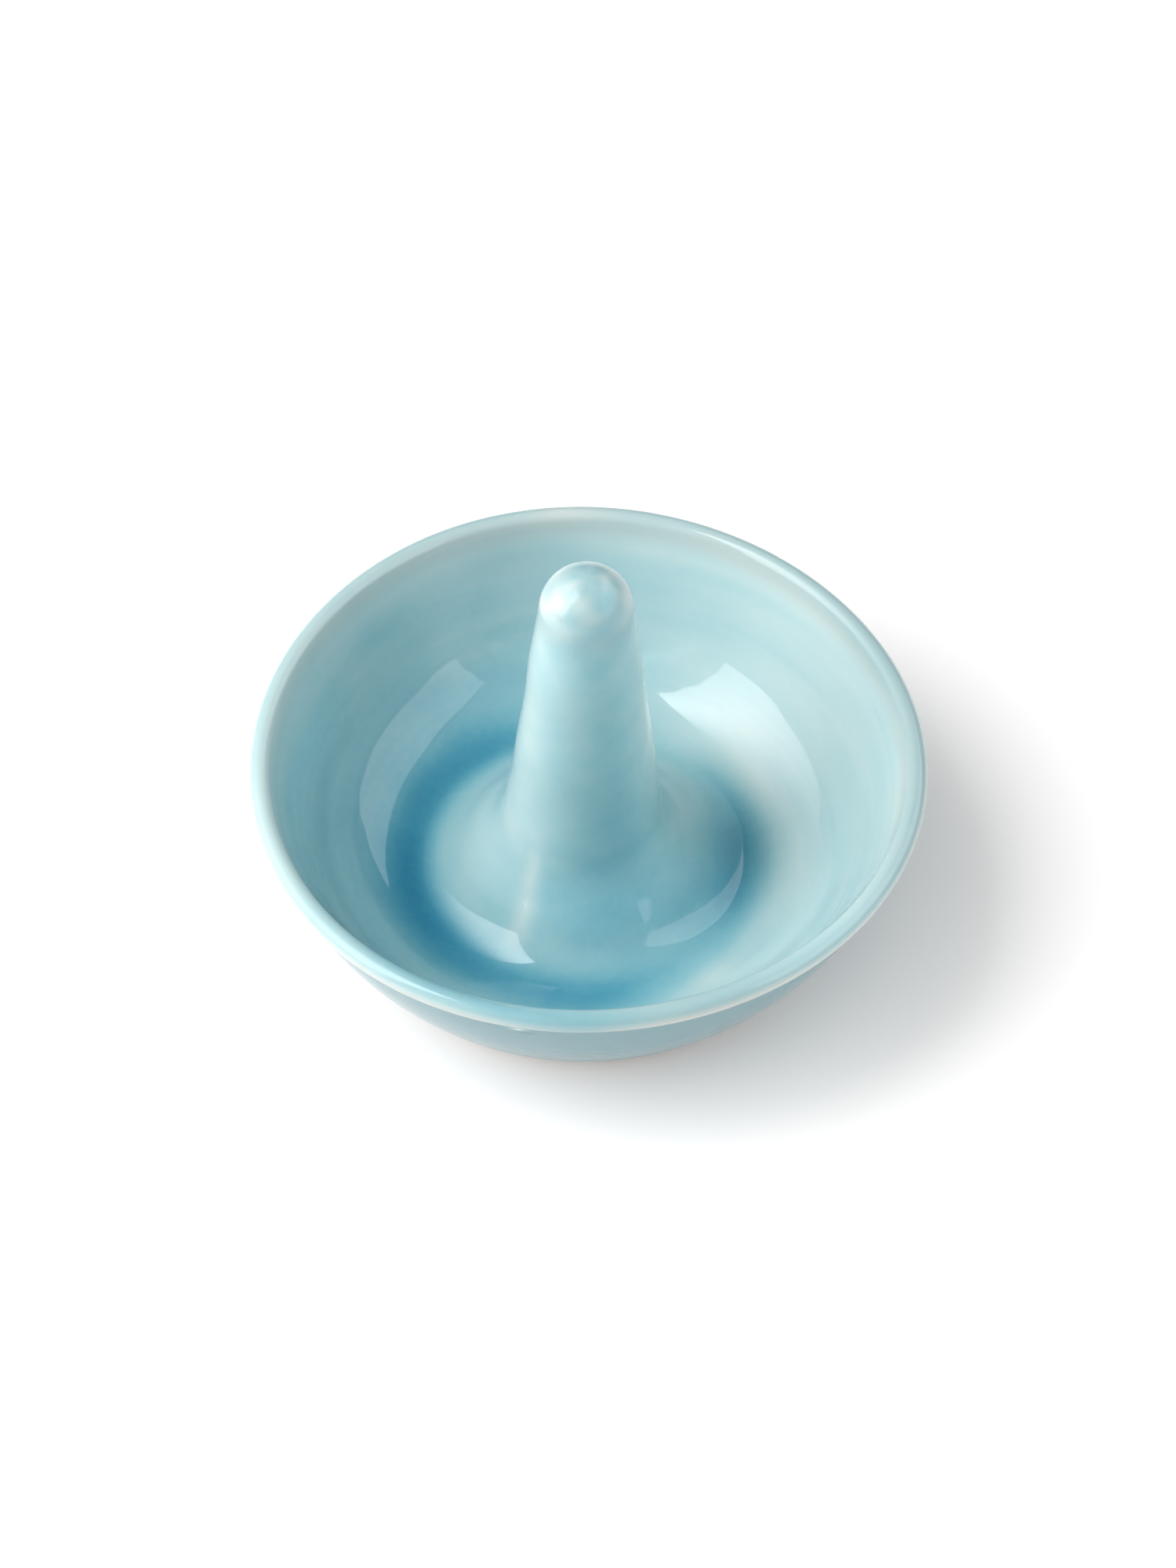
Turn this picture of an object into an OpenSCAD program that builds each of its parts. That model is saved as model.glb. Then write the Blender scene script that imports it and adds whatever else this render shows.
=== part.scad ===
// Ring dish: a small thrown stoneware bowl with a tapered ring post standing in its middle.
// The origin is on the table, at the centre of the foot ring's underside, with +Z up.
// Every piece is turned about the Z axis, and lengths are in millimetres.

/* [Bowl] */
// Diameter over the rolled lip
rim_d = 90; // [84:1:100]
// Height from the table to the top of the lip
bowl_h = 29.5; // [28:0.5:33]
// Thickness of the rolled lip
lip_t = 2.9; // [2.5:0.1:3.3]
// How far the lip stands out past the wall under it
lip_overhang = 1.3; // [0.9:0.1:1.5]
// Lean of the outer wall from upright just under the lip, in degrees
wall_lean = 14.4; // [12:0.2:18]
// Radius of the outer wall's bulge, seen in section
wall_bulge_r = 58; // [54:1:64]
// Thickness of the glazed wall at mid height
wall_t = 2.8; // [2.4:0.1:3.6]

/* [Moat and floor] */
// Diameter of the ring along which the moat is deepest
moat_d = 45.2; // [42:0.2:50]
// Radius of the moat's rounded bottom on the side where the coil starts, seen in section
moat_bottom_r = 3; // [2:0.5:5]
// Thickness of the clay floor under the moat
floor_t = 4.2; // [3.5:0.1:5]

/* [Foot ring] */
// Outer diameter of the foot ring
foot_d = 54; // [46:1:56]
// Width of the foot ring's tread
foot_w = 5; // [3:0.5:7]
// Height of the foot ring
foot_h = 2; // [1.5:0.1:3]
// Bevel wiped along the foot ring's two lower edges
foot_bevel = 0.4; // [0.2:0.1:0.7]

/* [Ring post] */
// Height from the table to the tip of the post
total_h = 63.9; // [56:0.1:72]
// Diameter of the round tip
tip_d = 12.3; // [10:0.1:14]
// Taper of the post on each side, in degrees
post_taper = 6.6; // [5:0.1:8]

/* [Join coil] */
// Slope at which the moat's bottom passes into the coil's toe, in degrees
coil_start_slope = 12; // [8:1:18]
// Radius of the hollow that the coil's toe makes beside the moat
coil_toe_r = 10.5; // [8:0.5:12]
// Slope of the straight part of the coil, in degrees
coil_slope = 44; // [40:1:50]
// Radius of the curve from the coil up into the side of the post
coil_flare_r = 12; // [9:0.5:14]

/* [Glaze] */
// Thickness of the glaze on walls and post
glaze_t = 0.35; // [0.2:0.05:0.5]
// Depth of the glaze where it pooled along the bottom of the moat
pool_t = 0.6; // [0.5:0.05:1]
// Height above the table at which the outside glaze stops
wax_line_h = 3.2; // [3.1:0.1:5]

/* [Hidden] */
turn_fn = 120;
clay_colour = [0.90, 0.87, 0.79];
aqua_colour = [0.60, 0.80, 0.83];

rim_r = rim_d / 2;
lip_r = lip_t / 2;
tip_r = tip_d / 2;
foot_r = foot_d / 2;
moat_r = moat_d / 2;
// Centre of the lip's round section
lip_c = [rim_r - lip_r, bowl_h - lip_r];
// Top of the outer wall, on the underside of the lip
wall_top_r = rim_r - lip_overhang;
wall_top_z = lip_c[1] - sqrt(pow(lip_r, 2) - pow(wall_top_r - lip_c[0], 2));
// Centre of the wall's bulge, shared by its outer and inner faces
wall_c = [wall_top_r, wall_top_z] + wall_bulge_r * [-cos(wall_lean), sin(wall_lean)];
inner_bulge_r = wall_bulge_r - wall_t;
clay_floor_z = foot_h + floor_t;
// Centre of the round end of the post
tip_c = [0, total_h - tip_r];

// Arc about c from angle a to angle b in n steps
function arc_pts(c, r, a, b, n) =
    [for (i = [0 : n]) let (t = a + (b - a) * i / n) c + r * [cos(t), sin(t)]];

// Unit normal of a surface that rises towards the axis at the given slope
function rise_normal(slope) = [sin(slope), cos(slope)];

// Angle of the direction from one point to another
function heading(a, b) = atan2(b[1] - a[1], b[0] - a[0]);

// Point where two circles cross, on the right of the way from c1 to c2
function crossing(c1, r1, c2, r2) =
    let (d = norm(c2 - c1))
    let (along = (r1 * r1 - r2 * r2 + d * d) / (2 * d))
    let (across = sqrt(r1 * r1 - along * along))
    let (e = (c2 - c1) / d)
    c1 + along * e + across * [e[1], -e[0]];

// Each surface below lies the depth t under the finished one, and pool under it in the moat
function under_lip(t) = crossing(wall_c, wall_bulge_r - t, lip_c, lip_r - t);

// Angle below the horizontal at which the outer face reaches the height z
function outer_angle(t, z) = asin((wall_c[1] - z) / (wall_bulge_r - t));

// Outer face from the height z up to the crease under the lip
function outer_pts(t, z) =
    arc_pts(wall_c, wall_bulge_r - t, -outer_angle(t, z), heading(wall_c, under_lip(t)), 18);

// Height of the moat's bottom
function moat_z(pool) = clay_floor_z + pool_t - pool;

// Radius of the curve that is tangent to the inner face of the wall and level on the moat's bottom
function moat_wall_r(t, pool) =
    let (reach = [moat_r, moat_z(pool) + t] - wall_c)
    (pow(inner_bulge_r, 2) - reach * reach) / (2 * (inner_bulge_r + reach[1]));

// Centre of that curve
function moat_wall_c(t, pool) = [moat_r, moat_z(pool) + t + moat_wall_r(t, pool)];

// Lean of a straight stretch that leaves the lip and runs down on to a curve of radius r about c
function lean_on_to(c, r) =
    let (v = c - lip_c)
    atan2(v[1], -v[0]) + acos((r + lip_r) / norm(v));

// Lean of the straight stretch of the inner wall. In a low bowl it runs past the wall's bulge,
// straight on to the curve down to the moat
function upper_lean(t, pool) =
    let (c = moat_wall_c(t, pool))
    let (bulge_lean = lean_on_to(wall_c, inner_bulge_r))
    -bulge_lean > heading(wall_c, c) ? bulge_lean : lean_on_to(c, moat_wall_r(t, pool));

// Lip from the crease under it, over the top, to where the inner wall leaves it
function lip_pts(t, pool) =
    arc_pts(lip_c, lip_r - t, heading(lip_c, under_lip(t)), 180 - upper_lean(t, pool), 20);

// Inner wall from the end of its straight stretch to the bottom of the moat
function inner_wall_pts(t, pool) =
    let (c = moat_wall_c(t, pool))
    let (lean = upper_lean(t, pool))
    let (bulge_end = min(heading(wall_c, c), -lean))
    concat(
        -lean > bulge_end ? arc_pts(wall_c, inner_bulge_r + t, -lean, bulge_end, 6) : [],
        arc_pts(c, moat_wall_r(t, pool) + t, bulge_end, -90, 16)
    );

// Coil from the bottom of the moat over its toe and straight part, and up the flare until it
// is tangent to the post
function coil_pts(t, pool) =
    let (low_c = [moat_r, moat_z(pool) + moat_bottom_r + t])
    let (toe_c = low_c + (coil_toe_r - moat_bottom_r) * rise_normal(coil_start_slope))
    let (toe_end = toe_c - (coil_toe_r + t) * rise_normal(coil_slope))
    let (post_side = [cos(post_taper), sin(post_taper)])
    let (gap = post_side * (toe_end - tip_c) - (tip_r - t))
    let (turn = post_taper + coil_slope)
    let (straight = (gap - (coil_flare_r + t) * (1 - sin(turn))) / cos(turn))
    let (flare_start = toe_end + straight * [-cos(coil_slope), sin(coil_slope)])
    let (flare_c = flare_start + (coil_flare_r + t) * rise_normal(coil_slope))
    concat(
        arc_pts(low_c, moat_bottom_r + t, -90, -90 - coil_start_slope, 4),
        arc_pts(toe_c, coil_toe_r + t, -90 - coil_start_slope, -90 - coil_slope, 10),
        arc_pts(flare_c, coil_flare_r + t, -90 - coil_slope, -180 + post_taper, 12)
    );

// Round tip from the top of the post's straight side to the axis
function tip_pts(t) = arc_pts(tip_c, tip_r - t, post_taper, 90, 14);

// Radius of the post's straight side at the height z
function post_side_r(t, z) =
    (tip_r - t - (z - tip_c[1]) * sin(post_taper)) / cos(post_taper);

// The whole inside surface, from the crease under the lip to the tip of the post
function inside_pts(t, pool) =
    concat(lip_pts(t, pool), inner_wall_pts(t, pool), coil_pts(t, pool), tip_pts(t));

function reversed(pts) = [for (i = [len(pts) - 1 : -1 : 0]) pts[i]];

module turned(pts) {
    rotate_extrude($fn = turn_fn) polygon(pts);
}

// Thrown clay bowl with its rolled lip, thick floor and curved wall
module bowl() {
    color(clay_colour)
    turned(concat(
        [[0, foot_h]],
        outer_pts(glaze_t, foot_h),
        lip_pts(glaze_t, pool_t),
        inner_wall_pts(glaze_t, pool_t),
        [[0, clay_floor_z]]
    ));
}

// Bare clay ring luted under the floor, with its tread wiped clean of glaze
module foot_ring() {
    color(clay_colour)
    turned([
        [foot_r - foot_w, foot_bevel],
        [foot_r - foot_w + foot_bevel, 0],
        [foot_r - foot_bevel, 0],
        [foot_r, foot_bevel],
        [foot_r, foot_h],
        [foot_r - foot_w, foot_h]
    ]);
}

// Solid clay cone with a round tip, standing on the floor
module ring_post() {
    color(clay_colour)
    turned(concat(
        [[0, clay_floor_z], [post_side_r(glaze_t, clay_floor_z), clay_floor_z]],
        tip_pts(glaze_t)
    ));
}

// Coil of soft clay pressed round the foot of the post and flared out to the moat
module join_coil() {
    color(clay_colour)
    turned(concat(
        coil_pts(glaze_t, pool_t),
        [[post_side_r(glaze_t, clay_floor_z), clay_floor_z]]
    ));
}

// Poured glaze over the lip, inner wall, moat, coil and post
module glaze_inside() {
    color(aqua_colour)
    turned(concat(inside_pts(0, 0), reversed(inside_pts(glaze_t, pool_t))));
}

// Dipped glaze on the outer wall, from the crease under the lip down to the wax line
module glaze_outside() {
    color(aqua_colour)
    turned(concat(
        outer_pts(0, wax_line_h),
        reversed(outer_pts(glaze_t, wax_line_h + glaze_t * sin(outer_angle(0, wax_line_h))))
    ));
}

bowl();
foot_ring();
ring_post();
join_coil();
glaze_inside();
glaze_outside();
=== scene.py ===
import math

import bpy
import numpy as np
from mathutils import Matrix, Vector


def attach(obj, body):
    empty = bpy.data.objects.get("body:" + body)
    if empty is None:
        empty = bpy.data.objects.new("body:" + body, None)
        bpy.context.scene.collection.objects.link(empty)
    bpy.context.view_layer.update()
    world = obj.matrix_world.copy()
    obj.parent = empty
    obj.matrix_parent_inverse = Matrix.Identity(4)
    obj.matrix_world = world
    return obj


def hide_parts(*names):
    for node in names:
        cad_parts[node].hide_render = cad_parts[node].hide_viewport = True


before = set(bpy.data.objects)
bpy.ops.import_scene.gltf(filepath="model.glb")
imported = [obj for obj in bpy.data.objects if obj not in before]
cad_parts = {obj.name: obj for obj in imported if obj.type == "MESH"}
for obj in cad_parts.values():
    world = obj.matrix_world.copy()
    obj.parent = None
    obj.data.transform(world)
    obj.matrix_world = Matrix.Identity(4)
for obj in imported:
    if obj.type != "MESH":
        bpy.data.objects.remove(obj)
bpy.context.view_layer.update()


# Bowl: thrown from cream stoneware clay with a thick floor, a wall that bulges a little outwards
# and a lip rolled over the fingertip. The floor's underside is turned flat when the clay is
# leather hard. Lengths are in millimetres, heights are above the table.
MM = 0.001
FOOT_H = 2.0
CLAY_FLOOR_Z = 6.2
LIP_R = 1.45
LIP_C = np.array([43.55, 28.05])
WALL_TOP = np.array([43.7, LIP_C[1] - math.sqrt(LIP_R ** 2 - 0.15 ** 2)])
WALL_LEAN = math.radians(14.4)
WALL_R = 58.0
WALL_T = 2.8
WALL_C = WALL_TOP + WALL_R * np.array([-math.cos(WALL_LEAN), math.sin(WALL_LEAN)])
INNER_R = WALL_R - WALL_T
MOAT_R = 22.6
GLAZE_T = 0.35
POOL_T = 0.6
ROUND = 320


def heading(a, b):
    """Angle of the direction from point a to point b."""
    return math.atan2(b[1] - a[1], b[0] - a[0])


def arc(c, r, a, b, n):
    """n points of a circle of radius r about c, from angle a to just before angle b."""
    t = a + (b - a) * np.arange(n) / n
    return np.column_stack([c[0] + r * np.cos(t), c[1] + r * np.sin(t)])


def straight(a, b, n):
    """n points of the straight line from a to just before b."""
    t = np.arange(n)[:, None] / n
    return a + (np.asarray(b, float) - a) * t


def crease(t):
    """Point under the lip where the outer wall, t below its glaze, meets the lip's round section:
    the outer one of the two crossings of their circles."""
    r1, r2, way = WALL_R - t, LIP_R - t, LIP_C - WALL_C
    d = np.hypot(*way)
    along = (r1 ** 2 - r2 ** 2 + d ** 2) / (2 * d)
    across = math.sqrt(r1 ** 2 - along ** 2)
    return WALL_C + along * way / d + across * np.array([way[1], -way[0]]) / d


def outer_line(t, z, n=60):
    """Outer wall's section, t below its finished surface, from the height z up to the crease."""
    start = -math.asin((WALL_C[1] - z) / (WALL_R - t))
    return np.vstack([arc(WALL_C, WALL_R - t, start, heading(WALL_C, crease(t)), n), crease(t)])


def wall_line(t, pool, fine=1.0):
    """Section of lip and inner wall, t below the finished surface and pool below it in the moat:
    round lip, straight stretch tangent to it, bulge, and the curve that ends level in the moat."""
    way = WALL_C - LIP_C
    lean = math.atan2(way[1], -way[0]) + math.acos((INNER_R + LIP_R) / np.hypot(*way))
    level = CLAY_FLOOR_Z + POOL_T - pool + t
    reach = np.array([MOAT_R, level]) - WALL_C
    r = (INNER_R ** 2 - reach @ reach) / (2 * (INNER_R + reach[1]))
    c = np.array([MOAT_R, level + r])
    lip = arc(LIP_C, LIP_R - t, heading(LIP_C, crease(t)), math.pi - lean, int(36 * fine))
    lip_end = LIP_C + (LIP_R - t) * np.array([-math.cos(lean), math.sin(lean)])
    bulge = arc(WALL_C, INNER_R + t, -lean, heading(WALL_C, c), int(12 * fine))
    curve = arc(c, r + t, heading(WALL_C, c), -math.pi / 2, int(44 * fine))
    return np.vstack([lip, straight(lip_end, bulge[0], int(18 * fine)), bulge, curve,
                      [[MOAT_R, level - t]]])


def by_hand(x, y, z):
    """Where a potter's hands leave the point: the rim is out of round in three low lobes that fade
    to nothing at the moat, and the post stands a little to the left of the middle."""
    r, turn = np.hypot(x, y), np.arctan2(y, x)
    rim = np.clip((r - 23) / 20, 0, 1) ** 1.3
    lobes = rim * (0.25 * np.cos(3 * turn) - 0.26 * np.sin(3 * turn))
    post = np.clip((21 - r) / 8, 0, 1)
    post = post * post * (3 - 2 * post)
    shift = post * (-0.31 + 0.17 * np.clip((z - 12) / 51, 0, 1))
    ripple = (0.13 * np.exp(-((z - 48.5) / 4) ** 2) - 0.14 * np.exp(-((z - 39.5) / 5) ** 2)
              - 0.06 * np.exp(-((z - 27) / 6) ** 2)) * np.clip(r / 4, 0, 1)
    grow = lobes + post * ripple
    return x + grow * np.cos(turn) + shift, y + grow * np.sin(turn), z


def turned(name, line, values=None):
    """A closed mesh turned about the upright axis: point i of the line at turn j is
    (r cos j, r sin j, z), moved by_hand. A line that ends on the axis closes there in one point,
    and any other line closes on itself."""
    r, z = line[:, :1], line[:, 1:]
    turn = np.arange(ROUND) * 2 * math.pi / ROUND
    r, z, turn = np.broadcast_arrays(r, z, turn[None, :])
    grid = np.stack(by_hand(r * np.cos(turn), r * np.sin(turn), z), -1) * MM
    at_start, at_end = line[0, 0] < 1e-6, line[-1, 0] < 1e-6
    first, last = (1 if at_start else 0), (len(line) - 1 if at_end else len(line))
    rings = grid[first:last]
    count = len(rings)
    points = rings.reshape(-1, 3)
    i, j = np.meshgrid(np.arange(count if not (at_start or at_end) else count - 1),
                       np.arange(ROUND), indexing="ij")
    near, far, along = i * ROUND, ((i + 1) % count) * ROUND, (j + 1) % ROUND
    quads = np.stack([near + j, near + along, far + along, far + j], -1).reshape(-1, 4)
    around = np.arange(ROUND)
    fans = []
    if at_start:
        points = np.vstack([points, grid[0].mean(0)])
        fans.append(np.column_stack([np.full(ROUND, len(points) - 1), (around + 1) % ROUND, around]))
    if at_end:
        points = np.vstack([points, grid[-1].mean(0)])
        ring = (count - 1) * ROUND
        fans.append(np.column_stack([np.full(ROUND, len(points) - 1), ring + around,
                                     ring + (around + 1) % ROUND]))
    faces = quads.tolist() + [f for fan in fans for f in fan.tolist()]
    mesh = bpy.data.meshes.new(name)
    mesh.from_pydata(points.tolist(), [], faces)
    mesh.shade_smooth()
    for key, value in (values or {}).items():
        kept = np.broadcast_to(value, grid.shape[:2])[first:last].ravel()
        ends = [np.broadcast_to(value, grid.shape[:2])[k].mean() for k, on in
                ((0, at_start), (-1, at_end)) if on]
        mesh.attributes.new(key, "FLOAT", "POINT").data.foreach_set(
            "value", np.concatenate([kept, ends]).astype(np.float32))
    piece = bpy.data.objects.new(name, mesh)
    bpy.context.scene.collection.objects.link(piece)
    return piece


class Flow:
    """A socket in a material. Arithmetic on it adds Math nodes, and node() adds any other node:
    its type, then its settings, then the values or links of its inputs."""

    def __init__(self, tree, socket=None):
        self.tree, self.socket = tree, socket

    def node(self, kind, settings=None, inputs=None, out=0):
        made = self.tree.nodes.new("ShaderNode" + kind)
        for key, value in (settings or {}).items():
            if key == "stops":
                ramp = made.color_ramp.elements
                while len(ramp) < len(value):
                    ramp.new(0.5)
                for stop, (place, colour) in zip(ramp, value):
                    stop.position, stop.color = place, colour
            else:
                setattr(made, key, value)
        for key, value in (inputs or {}).items():
            if isinstance(value, Flow):
                self.tree.links.new(value.socket, made.inputs[key])
            else:
                made.inputs[key].default_value = value
        return Flow(self.tree, made.outputs[out] if len(made.outputs) else None)

    def sum_of(self, operation, *values):
        return self.node("Math", {"operation": operation}, dict(enumerate(values)))

    def __add__(self, other):
        return self.sum_of("ADD", self, other)

    def __sub__(self, other):
        return self.sum_of("SUBTRACT", self, other)

    def __rsub__(self, other):
        return self.sum_of("SUBTRACT", other, self)

    def __mul__(self, other):
        return self.sum_of("MULTIPLY", self, other)

    def __pow__(self, other):
        return self.sum_of("POWER", self, other)

    def __rpow__(self, other):
        return self.sum_of("POWER", other, self)

    __radd__, __rmul__ = __add__, __mul__


def recipe(name):
    """An empty material and the Flow that starts it."""
    made = bpy.data.materials.new(name)
    made.use_nodes = True
    made.node_tree.nodes.clear()
    return made, Flow(made.node_tree)


def stoneware(name, colour, grog, roughness):
    """Fired clay: fine mottling and scattered darker grog over one colour, with a dry, slightly
    gritty surface and faint rings from turning."""
    made, flow = recipe(name)
    place = flow.node("TexCoord", out="Object")
    cloud = flow.node("TexNoise", inputs={"Vector": place, "Scale": 160.0, "Detail": 4.0})
    grain = flow.node("TexNoise", inputs={"Vector": place, "Scale": 2600.0, "Detail": 2.0})
    speck = flow.node("TexVoronoi", inputs={"Vector": place, "Scale": 900.0})
    dark = flow.node("MapRange", inputs={"Value": speck, 1: 0.10, 2: 0.24, 3: 1.0, 4: 0.0})
    body = flow.node("Mix", {"data_type": "RGBA"},
                     {0: cloud, 6: (*[c * 0.86 for c in colour], 1),
                      7: (*[min(1, c * 1.12) for c in colour], 1)}, out=2)
    tinted = flow.node("Mix", {"data_type": "RGBA"},
                       {0: dark * 0.45, 6: body, 7: (*grog, 1)}, out=2)
    rings = flow.node("TexWave", {"wave_type": "RINGS", "rings_direction": "Z"},
                      {"Vector": place, "Scale": 260.0, "Distortion": 1.5})
    bump = flow.node("Bump", inputs={"Strength": 0.35, "Distance": 0.0002,
                                     "Height": grain * 0.6 + rings * 0.4})
    clay = flow.node("BsdfPrincipled", inputs={"Base Color": tinted, "Normal": bump,
                                               "Roughness": roughness})
    flow.node("OutputMaterial", inputs={"Surface": clay})
    return made


clay_body = stoneware("fired_stoneware", (0.575, 0.56, 0.53), (0.27, 0.23, 0.19), 0.82)

bowl_line = np.vstack([[[0, FOOT_H]], straight(np.array([0.001, FOOT_H]),
                                               outer_line(GLAZE_T, FOOT_H)[0], 26)[1:],
                       outer_line(GLAZE_T, FOOT_H, 40)[:-1],
                       wall_line(GLAZE_T, POOL_T, 0.5)[:-1],
                       straight(np.array([MOAT_R, CLAY_FLOOR_Z]), (0, CLAY_FLOOR_Z), 16),
                       [[0, CLAY_FLOOR_Z]]])
bowl = turned("thrown_bowl", bowl_line)
bowl.data.materials.append(clay_body)
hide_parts("bowl")
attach(bowl, "root")


# Foot ring: a low ring of the same clay luted under the floor with slip. Its tread is wiped clean
# of glaze so that the dish doesn't stick to the kiln shelf, which leaves the clay bare and toasted.
FOOT_R, FOOT_W, FOOT_BEVEL = 27.0, 5.0, 0.4
toasted = stoneware("bare_foot_clay", (0.52, 0.49, 0.45), (0.22, 0.18, 0.14), 0.88)
corner = np.array([[FOOT_R - FOOT_W, FOOT_BEVEL], [FOOT_R - FOOT_W + FOOT_BEVEL, 0],
                   [FOOT_R - FOOT_BEVEL, 0], [FOOT_R, FOOT_BEVEL], [FOOT_R, FOOT_H],
                   [FOOT_R - FOOT_W, FOOT_H]])
foot_line = np.vstack([straight(corner[k], corner[(k + 1) % 6], n)
                       for k, n in enumerate((3, 12, 3, 5, 4, 5))])
foot = turned("foot_ring_piece", foot_line)
foot.data.materials.append(toasted)
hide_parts("foot_ring")
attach(foot, "root")


# Ring post: a solid cone of clay, rolled and then smoothed on the wheel, with a round tip. It is
# scored and slipped on to the middle of the floor.
TOTAL_H, TIP_R = 63.9, 6.15
TAPER = math.radians(6.6)
TIP_C = np.array([0.0, TOTAL_H - TIP_R])


def post_r(t, z):
    """Radius of the post's straight side at the height z, t below its finished surface."""
    return (TIP_R - t - (z - TIP_C[1]) * math.sin(TAPER)) / math.cos(TAPER)


def tip_line(t, n=30):
    """Round tip's section, from the top of the straight side to the axis."""
    return np.vstack([arc(TIP_C, TIP_R - t, TAPER, math.pi / 2, n), [[0, TOTAL_H - t]]])


side = np.array([post_r(GLAZE_T, CLAY_FLOOR_Z), CLAY_FLOOR_Z])
post_line = np.vstack([[[0, CLAY_FLOOR_Z]],
                       straight(np.array([0.0, CLAY_FLOOR_Z]), side, 8)[1:],
                       straight(side, tip_line(GLAZE_T)[0], 40), tip_line(GLAZE_T, 16)])
post = turned("clay_post", post_line)
post.data.materials.append(clay_body)
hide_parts("ring_post")
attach(post, "root")


# Join coil: a coil of soft clay pressed round the foot of the post and drawn out with a wet finger
# towards the moat, so that post and floor flow into each other.
BOTTOM_R, TOE_R, FLARE_R = 3.0, 10.5, 12.0
START_SLOPE, COIL_SLOPE = math.radians(12), math.radians(44)


def rise(slope):
    """Unit normal of a surface that rises towards the axis at the slope."""
    return np.array([math.sin(slope), math.cos(slope)])


def coil_line(t, pool, fine=1.0):
    """Coil's section from the moat's bottom: its rounded start, the hollow toe, a straight slope
    and the flare that ends tangent to the post."""
    low = np.array([MOAT_R, CLAY_FLOOR_Z + POOL_T - pool + BOTTOM_R + t])
    toe = low + (TOE_R - BOTTOM_R) * rise(START_SLOPE)
    toe_end = toe - (TOE_R + t) * rise(COIL_SLOPE)
    side_way = np.array([math.cos(TAPER), math.sin(TAPER)])
    gap = side_way @ (toe_end - TIP_C) - (TIP_R - t)
    bend = TAPER + COIL_SLOPE
    run = (gap - (FLARE_R + t) * (1 - math.sin(bend))) / math.cos(bend)
    flare_start = toe_end + run * np.array([-math.cos(COIL_SLOPE), math.sin(COIL_SLOPE)])
    flare = flare_start + (FLARE_R + t) * rise(COIL_SLOPE)
    down = -math.pi / 2
    return np.vstack([arc(low, BOTTOM_R + t, down, down - START_SLOPE, int(4 * fine)),
                      arc(toe, TOE_R + t, down - START_SLOPE, down - COIL_SLOPE, int(18 * fine)),
                      straight(toe_end, flare_start, int(8 * fine)),
                      arc(flare, FLARE_R + t, down - COIL_SLOPE, TAPER - math.pi, int(26 * fine)),
                      [flare - (FLARE_R + t) * side_way]])


coil_top = coil_line(GLAZE_T, POOL_T, 0.5)
coil_ring = np.vstack([coil_top, straight(coil_top[-1], side, 8)[1:],
                       straight(side, coil_top[0], 12)])
coil = turned("pressed_coil", coil_ring)
coil.data.materials.append(clay_body)
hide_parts("join_coil")
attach(coil, "root")


# Inside glaze: a layer of aqua glass poured over lip, wall, moat, coil and post. It is thin and
# creamy where it ran off edges, and it gathered deep blue along the moat, most on the left.
def lumps(turn, along, seed, count=9, most=5, grow=0.35):
    """Soft random swelling from -1 to 1: a sum of cosines of whole-number turns and lengths
    along the section, so that it closes on itself round the dish."""
    draw = np.random.default_rng(seed)
    total = 0
    for _ in range(count):
        n, k, phase = draw.integers(1, most + 1), draw.normal(0, grow), draw.uniform(0, 2 * math.pi)
        total = total + np.cos(n * turn + k * along + phase) * draw.uniform(0.5, 1)
    return total / math.sqrt(count)


def lie(turn, centre, width):
    """1 at the azimuth centre and falling off smoothly over the width, both in degrees."""
    away = np.degrees(np.angle(np.exp(1j * (turn - math.radians(centre)))))
    return np.exp(-(away / width) ** 2)


def outward(line):
    """Unit normals of a section, on the right of its direction."""
    way = np.gradient(line, axis=0)
    way = way / np.maximum(np.hypot(way[:, :1], way[:, 1:]), 1e-9)
    return np.column_stack([way[:, 1], -way[:, 0]])


top = np.vstack([wall_line(0, 0)[:-1], coil_line(0, 0)])
top = np.vstack([top, straight(top[-1], tip_line(0)[0], 32)[1:], tip_line(0)])
length = np.concatenate([[0], np.cumsum(np.hypot(*np.diff(top, axis=0).T))])[:, None]
moat_at = length[np.argmin(np.where(top[:, 0] > 15, top[:, 1], 99))]
height, radius = top[:, 1:], top[:, :1]


def ease(value, start, end):
    """0 up to start, 1 from end on, and a smooth step between."""
    t = np.clip((value - start) / (end - start), 0, 1)
    return t * t * (3 - 2 * t)


def spot(turn, azimuth, wide, at, deep):
    """A soft patch of the section: 1 at the azimuth and the length at, fading over both widths."""
    return lie(turn, azimuth, wide) * np.exp(-((length - at) / deep) ** 2)


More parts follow.
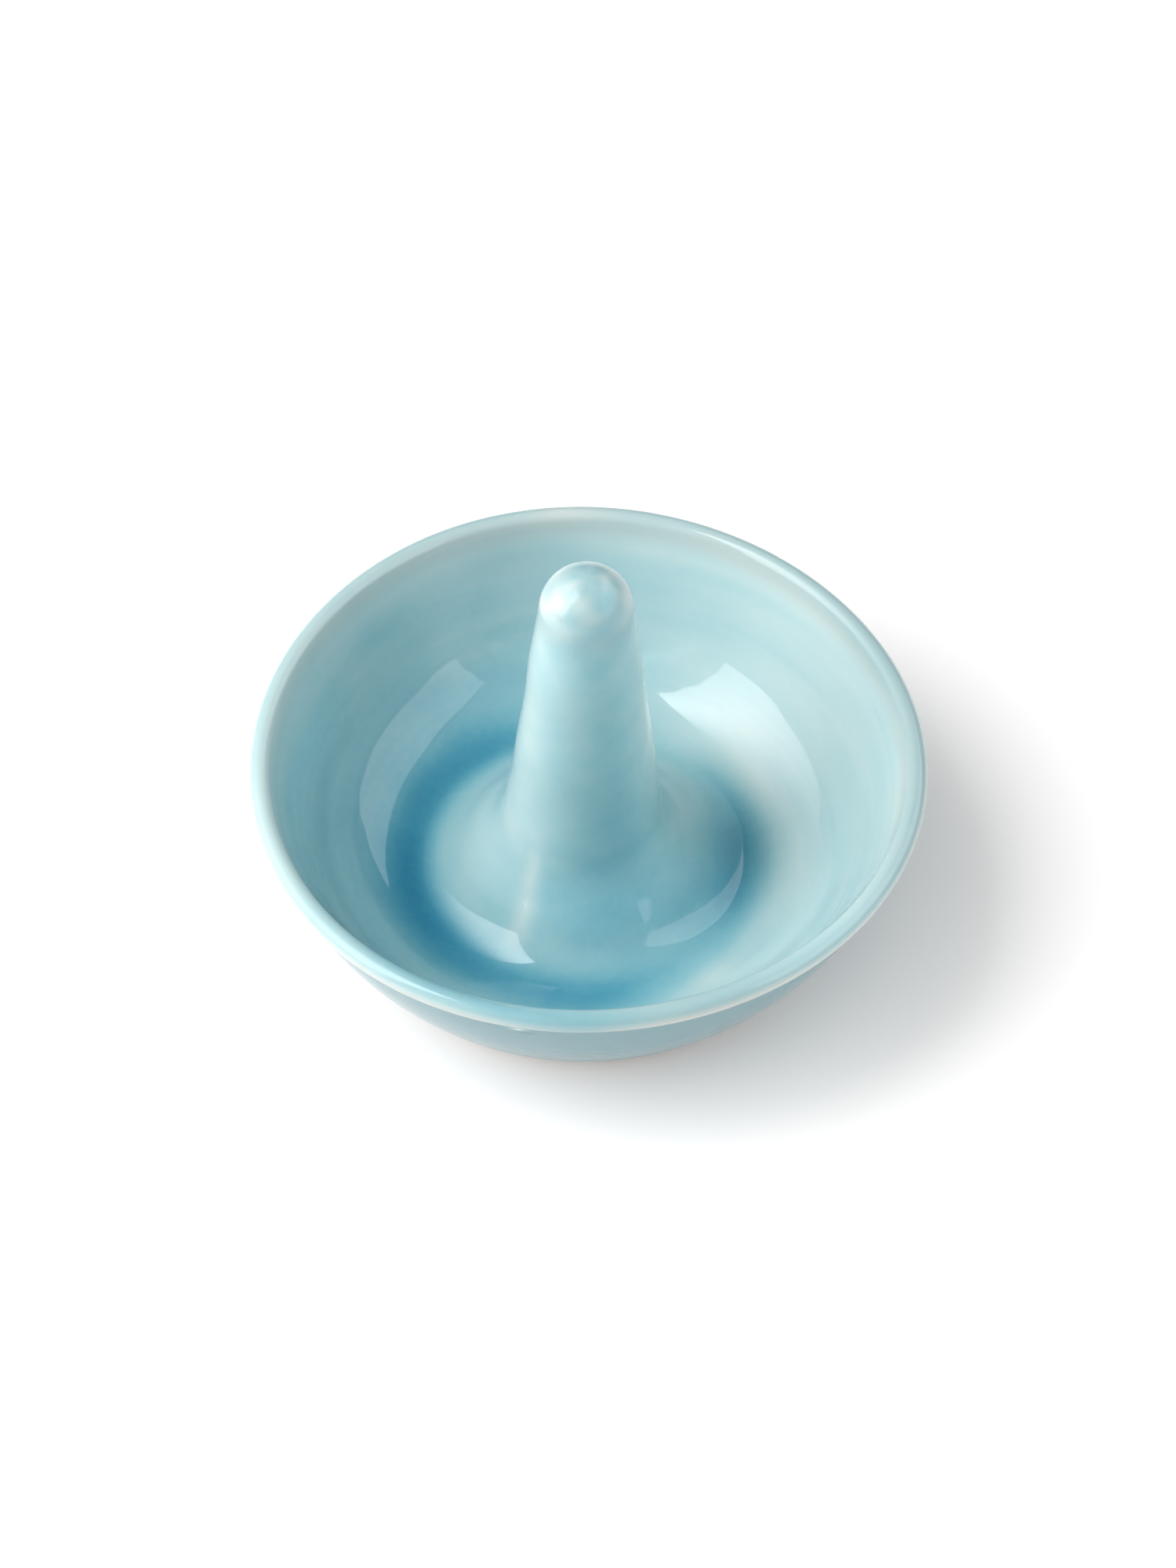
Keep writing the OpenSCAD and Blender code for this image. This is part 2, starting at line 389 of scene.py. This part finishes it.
def glaze_depth(turn):
    """How much glass light passes through. The right wall is made lighter and the left one darker, as if
    the glass were thinner and thicker there: painted light on the wall that faces the bright panel and
    painted shade on the one turned away. It is thinnest on the lip, and deepest along the moat, where it
    ran together in four places; at the right of the moat that pool, and the deep patch on the coil beside
    it, are partly a painted shadow of the post. The fronts of coil and post are deepened partly as painted
    shade. It ran off the left of the post and left a pale streak on the coil in front."""
    # Painted light on the right wall, which faces the bright panel, and painted shade on the left wall,
    # which is turned away.
    left = lie(turn, 160, 70) * (0.38 * ease(length, 8, 14) + 0.5 * ease(length, 18, 29))
    right = (-0.55 * lie(turn, 20, 90) * ease(length, 5, 8) * (1 - 0.3 * ease(length, 18, 26))
             - 0.3 * lie(turn, 45, 24) * ease(length, 16, 26))
    wall = (left + right) * (1 - ease(length, 34, 41))
    centre = moat_at - 1.4 * lie(turn, 180, 60) - 0.8 * lie(turn, 271, 26) + 1.5 * lie(turn, 350, 30)
    # The pool at the right of the moat, near 8 degrees, is partly glaze that ran together and partly a
    # painted shadow of the post.
    gathered_with_painted_shadow = (0.25 + 2.5 * lie(turn, 203, 38) + 1.45 * lie(turn, 135, 32)
                + 1.5 * lie(turn, 268, 30) + 1.1 * lie(turn, 8, 34))
    reach = np.where(length < centre, 3.6 + 0.6 * lie(turn, 215, 35), 3.0)
    pool = gathered_with_painted_shadow * np.exp(-((length - centre) / reach) ** 2)
    # The deep patches on the coil at the front right and the right are partly painted shade; the one at the
    # right is part of the post's painted shadow.
    coil = (0.85 * spot(turn, 296, 52, 47, 6.5) + 1.15 * spot(turn, 352, 30, 41, 4.5)
            - 0.30 * spot(turn, 190, 60, 48, 6) - 0.65 * spot(turn, 239, 6, 45.5, 4.5)
            - 0.45 * spot(turn, 234, 6, 52, 4))
    up = ease(length, 50, 57) * ease(radius, 0, 3.5)
    # The deeper glaze on the post's front is partly painted shade.
    post = up * (0.45 * lie(turn, 295, 26) * (1 - 0.7 * ease(length, 68, 86))
                 - 0.58 * lie(turn, 200, 42) - 0.3 * lie(turn, 0, 30) + 0.08)
    lip = (-0.36 * np.exp(-((length - 1.9) / 1.3) ** 2) - 0.3 * spot(turn, 195, 50, 3.4, 2)
           - 0.42 * (1 - 1.9 * lie(turn, 246, 22)) * np.exp(-((length - 5.6) / 2.2) ** 2)
           - 0.55 * (1 - lie(turn, 268, 9)) * np.exp(-((length - 1.8) / 0.8) ** 2)
           + 0.45 * spot(turn, 266, 13, 3.6, 1.4) - 0.3 * spot(turn, 94, 7, 4.6, 1.6))
    mottle = ease(radius, 0, 3.5) * (0.08 * lumps(turn, length, 3)
                                     + 0.06 * lumps(turn, length, 31, 12, 9, 0.9))
    streaks = 0.035 * lumps(turn, length, 77, 16, 3, 2.4) * (1 - ease(length, 28, 36))
    tip = ease(height, 56, 61) * (0.3 * lumps(turn, length, 8, 12, 6, 0.9) * ease(radius, 0, 3.5)
                                  - 0.1 - 0.22 * lie(turn, 262, 28) * ease(radius, 0, 3.5))
    return np.maximum(1.0 + wall + pool + coil + post + lip + mottle + streaks + tip
                      - 0.4 * spot(turn, 309, 9, 34, 3), -0.3)


def clay_shown_with_painted_light(turn):
    """How bright the clay shows under the glass, from 0.8 to 1.15, and nearly all of it painted light and
    shade: darker on the lip, where the coat is thin and painted shade dims its top, a painted shadow of the
    post over the moat at the right, painted light on the left wall, the post's sides and the flare, and
    painted shade on the back wall, the coil's front, the post's front and the tip."""
    # Lip: partly the thin coat and partly painted shade on its top.
    lip = 0.18 * (1 - ease(length, 6.5, 9.5)) * (1 - 0.8 * lie(turn, 195, 50)) * (
        1 - 0.9 * lie(turn, 318, 18))
    # Painted shadow of the post across the moat at the right.
    moat = 0.20 * spot(turn, 5, 24, moat_at, 4)
    # Painted light on the left wall and painted shade on the back wall.
    wall = 0.14 * spot(turn, 172, 16, 15, 4) - 0.09 * spot(turn, 110, 18, 10, 4)
    # Painted shade on the front of the coil.
    coil = 0.07 * lie(turn, 250, 60) * ease(length, 38, 43) * (1 - ease(length, 52, 58))
    # Painted light on the post's right and left sides, painted shade on its front.
    post = ease(length, 50, 57) * ease(radius, 0, 3.5) * (
        0.08 * lie(turn, 325, 40) + 0.06 * lie(turn, 200, 40) - 0.06 * lie(turn, 268, 22))
    # Painted light on the flare at the front right.
    flare = 0.15 * spot(turn, 328, 32, 52, 4.5)
    # Painted shade over the top of the tip, which dims its highlight.
    tip = ease(height, 54, 59) * (0.13 + 0.05 * lie(turn, 200, 50) * ease(radius, 0, 3.5))
    return 1 - lip - moat + wall - coil + post + flare - tip


def dulled(turn):
    """Roughness of the glaze: glossy, but softer where it thins in the flare and over the tip."""
    return (0.03 + 0.17 * np.exp(-((length - 54) / 4) ** 2) + 0.15 * ease(height, 53, 60)
            + 0 * turn)


def relief(turn):
    """Faint throwing rings on the wall and soft swellings of the glaze, in millimetres."""
    rings = 0.007 * np.cos(length * 2.6 + 1.1 * np.sin(turn)) * (1 - ease(length, 26, 33))
    swell = 0.02 * lumps(turn, length, 5) + 0.004 * lumps(turn, length, 41, 14, 16, 1.2)
    smooth = ease(length, 2, 8) * ease(radius, 0, 5) * (1 - 0.75 * ease(length, 48, 55))
    return (rings + swell) * smooth


def glazed(name, clay):
    """Glossy aqua glass over clay of the given colour, made lighter and darker from point to point by
    painted light and shade, and on the outside by a pale nick: each colour fades with the depth of glass
    that it crosses."""
    made, flow = recipe(name)
    place = flow.node("TexCoord", out="Object")
    depth = flow.node("Attribute", {"attribute_name": "depth"}, out="Fac")
    # This brightness attribute holds painted light and shade, and on the outside also the pale nick.
    tone = flow.node("Attribute", {"attribute_name": "tone"}, out="Fac")
    drift = flow.node("TexNoise", inputs={"Vector": place, "Scale": 120.0, "Detail": 5.0})
    fleck = flow.node("TexNoise", inputs={"Vector": place, "Scale": 900.0, "Detail": 3.0})
    thick = depth * (drift * 0.35 + fleck * 0.16 + 0.745)
    stain = [math.exp(-k) for k in (0.756, 0.30, 0.175)]
    channels = {key: tone * c * s ** thick for key, c, s in zip(("Red", "Green", "Blue"), clay, stain)}
    colour = flow.node("CombineColor", inputs=channels)
    rough = flow.node("Attribute", {"attribute_name": "rough"}, out="Fac")
    glass = flow.node("BsdfPrincipled", inputs={"Base Color": colour, "IOR": 1.54,
                                                "Roughness": rough + drift * 0.02 - 0.01})
    flow.node("OutputMaterial", inputs={"Surface": glass})
    return made


aqua = glazed("aqua_glaze_inside", (0.61, 0.635, 0.60))
turns = np.arange(ROUND)[None, :] * 2 * math.pi / ROUND


def shell(name, front, back, lift, values):
    """A thin closed layer of glaze: its front, lifted along its normals, and its back are turned as
    two surfaces. A band joins their first rings, and each closes on the axis in one point."""
    count = len(front) - 1, len(back) - 1
    grids = []
    for line, push in ((front, lift), (back, 0)):
        r, z = (line[:, k:k + 1] + push * outward(line)[:, k:k + 1] + 0 * turns for k in (0, 1))
        grids.append(np.stack(by_hand(r * np.cos(turns), r * np.sin(turns), z), -1) * MM)
    outer, inner = grids
    points = np.vstack([outer[:-1].reshape(-1, 3), inner[:-1].reshape(-1, 3),
                        outer[-1].mean(0)[None], inner[-1].mean(0)[None]])
    around = np.arange(ROUND)
    after = (around + 1) % ROUND

    def bands(start, rings, flip):
        i = np.arange(rings - 1)[:, None] * ROUND + start
        quad = np.stack([i + around, i + after, i + ROUND + after, i + ROUND + around], -1)
        return (quad[..., ::-1] if flip else quad).reshape(-1, 4)

    base = count[0] * ROUND
    rim = np.stack([around, base + around, base + after, after], -1)
    faces = np.vstack([bands(0, count[0], False), bands(base, count[1], True), rim]).tolist()
    last, last_in = (count[0] - 1) * ROUND, base + (count[1] - 1) * ROUND
    poles = base + count[1] * ROUND
    faces += np.column_stack([last + around, last + after, np.full(ROUND, poles)]).tolist()
    faces += np.column_stack([last_in + after, last_in + around,
                              np.full(ROUND, poles + 1)]).tolist()
    mesh = bpy.data.meshes.new(name)
    mesh.from_pydata(points.tolist(), [], faces)
    mesh.shade_smooth()
    for key, value in values.items():
        mesh.attributes.new(key, "FLOAT", "POINT").data.foreach_set("value", np.concatenate(
            [value[:-1].ravel(), np.ones(count[1] * ROUND), [value[-1].mean(), 1.0]]
        ).astype(np.float32))
    piece = bpy.data.objects.new(name, mesh)
    bpy.context.scene.collection.objects.link(piece)
    return piece


back = np.vstack([wall_line(GLAZE_T, POOL_T, 0.35)[:-1], coil_line(GLAZE_T, POOL_T, 0.35)])
back = np.vstack([back, straight(coil_top[-1], tip_line(GLAZE_T)[0], 14)[1:],
                  tip_line(GLAZE_T, 9)])
poured = shell("glaze_poured", top, back, relief(turns),
               {"depth": glaze_depth(turns), "tone": clay_shown_with_painted_light(turns), "rough": dulled(turns)})
poured.data.materials.append(aqua)
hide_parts("glaze_inside")
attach(poured, "root")


# Outside glaze: the same glass on the outer wall, where the dish was dipped. It reaches from the
# crease under the lip down to the wax line above the foot.
WAX_Z = 3.2
start_angle = math.asin((WALL_C[1] - WAX_Z) / WALL_R)
outer = outer_line(0, WAX_Z, 90)
inner = outer_line(GLAZE_T, WAX_Z + GLAZE_T * math.sin(start_angle), 40)
dipped_line = np.vstack([outer, inner[::-1]])
drop = np.clip((26 - dipped_line[:, 1:]) / 23, 0, 1)
dipped_depth = (1.3 + 0.25 * drop + 0.14 * lumps(turns, dipped_line[:, 1:], 21)
                + 0.4 * np.exp(-((dipped_line[:, 1:] - 26.4) / 0.5) ** 2)
                # This deeper spot just below the nick is a painted shadow under it.
                + 0.7 * lie(turns, 260, 1.5) * np.exp(-((dipped_line[:, 1:] - 24.0) / 0.5) ** 2))
nick = lie(turns, 258.75, 1.3) * np.exp(-((dipped_line[:, 1:] - 24.8) / 0.35) ** 2)
# The darker brightness at the front left of the outer wall is painted shade; the brighter nick is the pale
# clay of a chip in the glaze.
dipped = turned("glaze_dipped", dipped_line, values={"depth": dipped_depth - 1.7 * nick,
                                                "tone": 1 - 0.09 * lie(turns, 235, 45) + 0.6 * nick,
                                                "rough": 0.13 + 0.2 * ease(drop, 0.55, 0.9)})
# The clay colour under the outside glass is much darker than inside, though it is the same clay: painted
# shade on the outer wall.
dipped.data.materials.append(glazed("aqua_glaze_outside_painted_shade", (0.335, 0.405, 0.385)))
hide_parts("glaze_outside")
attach(dipped, "root")


# Table and light: a white sweep under the dish, a large bright panel on the left, a dimmer one on
# the right and a little light from all round.
def sheet(name, corners, material):
    """A flat sheet through the corners, in metres."""
    mesh = bpy.data.meshes.new(name)
    mesh.from_pydata(corners, [], [tuple(range(len(corners)))])
    mesh.materials.append(material)
    piece = bpy.data.objects.new(name, mesh)
    bpy.context.scene.collection.objects.link(piece)
    return piece


white, flow = recipe("white_table")
seen = flow.node("LightPath", out="Is Camera Ray")
shine = flow.node("LightPath", out="Is Glossy Ray")
matt = flow.node("BsdfDiffuse", inputs={"Color": (0.815, 0.80, 0.797, 1)})
glow = flow.node("Emission", inputs={"Color": (1, 1, 1, 1), "Strength": (seen + shine) * 0.06})
both = flow.node("AddShader", inputs={0: matt, 1: glow})
flow.node("OutputMaterial", inputs={"Surface": both})
sheet("table", [(-3, -3, 0), (3, -3, 0), (3, 3, 0), (-3, 3, 0)], white)

AWAY = 0.45
bright, flow = recipe("bright_panel")
place = flow.node("TexCoord", out="Object")
across = flow.node("SeparateXYZ", inputs={"Vector": place}, out="Y")
up = flow.node("SeparateXYZ", inputs={"Vector": place}, out="Z")
off = (across + 0.35 * AWAY) * (1 / (0.75 * AWAY))
glare = math.exp(-1) ** (off * off) * (up * (1.8 / AWAY) + 4.5)
mirrored = flow.node("LightPath", out="Is Glossy Ray")
lamp = flow.node("Emission", inputs={"Color": (1, 1, 1, 1),
                                     "Strength": (glare + 0.5) * (1.0 - mirrored * 0.38)})
flow.node("OutputMaterial", inputs={"Surface": lamp})
y0, y1, z0, z1 = -0.70 * AWAY, 2.45 * AWAY, 0.30 * AWAY, 3.2 * AWAY
key = sheet("panel_left", [(-AWAY, y0, z0), (-AWAY, y1, z0), (-AWAY, y1, z1), (-AWAY, y0, z1)],
            bright)
key.visible_camera = False

dim, flow = recipe("dim_panel")
mirrored = flow.node("LightPath", out="Is Glossy Ray")
lamp = flow.node("Emission", inputs={"Color": (1, 1, 1, 1), "Strength": mirrored * 0.9 + 0.9})
flow.node("OutputMaterial", inputs={"Surface": lamp})
y0, y1 = -0.75 * AWAY, 1.9 * AWAY
fill = sheet("panel_right", [(AWAY, y0, 0.40 * AWAY + 0.02), (AWAY, 0.5 * AWAY, 0.40 * AWAY + 0.02),
                             (AWAY, y1, 1.55 * AWAY), (AWAY, y1, 1.65 * AWAY),
                             (AWAY, y0, 1.6 * AWAY)], dim)
fill.visible_camera = False

low_card, flow = recipe("low_card")
lamp = flow.node("Emission", inputs={"Color": (1, 1, 1, 1), "Strength": 1.9})
flow.node("OutputMaterial", inputs={"Surface": lamp})
card = sheet("card_right", [(AWAY, y0, 0.0), (AWAY, y1, 0.0), (AWAY, y1, 0.40 * AWAY),
                            (AWAY, y0, 0.40 * AWAY)], low_card)
card.visible_camera = card.visible_glossy = False

world = bpy.data.worlds.new("room")
bpy.context.scene.world = world
world.use_nodes = True
world.node_tree.nodes.clear()
flow = Flow(world.node_tree)
way = flow.node("TexCoord", out="Generated")
near_left = flow.node("VectorMath", {"operation": "DOT_PRODUCT"},
                      {0: way, 1: (-0.503, -0.503, 0.704)}, out="Value")
right = flow.node("VectorMath", {"operation": "DOT_PRODUCT"},
                  {0: way, 1: (0.894, 0, 0.447)}, out="Value")
sky = math.e ** ((near_left - 1.0) * 8.0) * 2.6 + math.e ** ((right - 1.0) * 4.0) * 2.0 + 0.14
mirrored = flow.node("LightPath", out="Is Glossy Ray")
ambient = flow.node("Background", inputs={"Color": (1, 1, 1, 1), "Strength": sky * (1.0 - mirrored * 0.75)})
flow.node("OutputWorld", inputs={"Surface": ambient})


# Camera: the photograph's viewpoint, found from the rim, the wall and the post.
camera = bpy.data.cameras.new("camera")
camera.lens, camera.sensor_width = 100.0, 36.0
camera.clip_start, camera.clip_end = 0.05, 20.0
eye = bpy.data.objects.new("camera", camera)
bpy.context.scene.collection.objects.link(eye)
high, roll, far = math.radians(50.51), math.radians(0.49), 582.9 * MM
aim = Vector((0.22, 0, 22.74)) * MM
back_way = Vector((0, -math.cos(high), math.sin(high)))
right_way, up_way = Vector((1, 0, 0)), Vector((0, math.sin(high), math.cos(high)))
axis_x = right_way * math.cos(roll) + up_way * math.sin(roll)
axis_y = up_way * math.cos(roll) - right_way * math.sin(roll)
eye.matrix_world = Matrix.Translation(aim + back_way * far) @ Matrix(
    (axis_x, axis_y, back_way)).transposed().to_4x4()
bpy.context.scene.camera = eye
bpy.context.scene.view_settings.view_transform = "Standard"
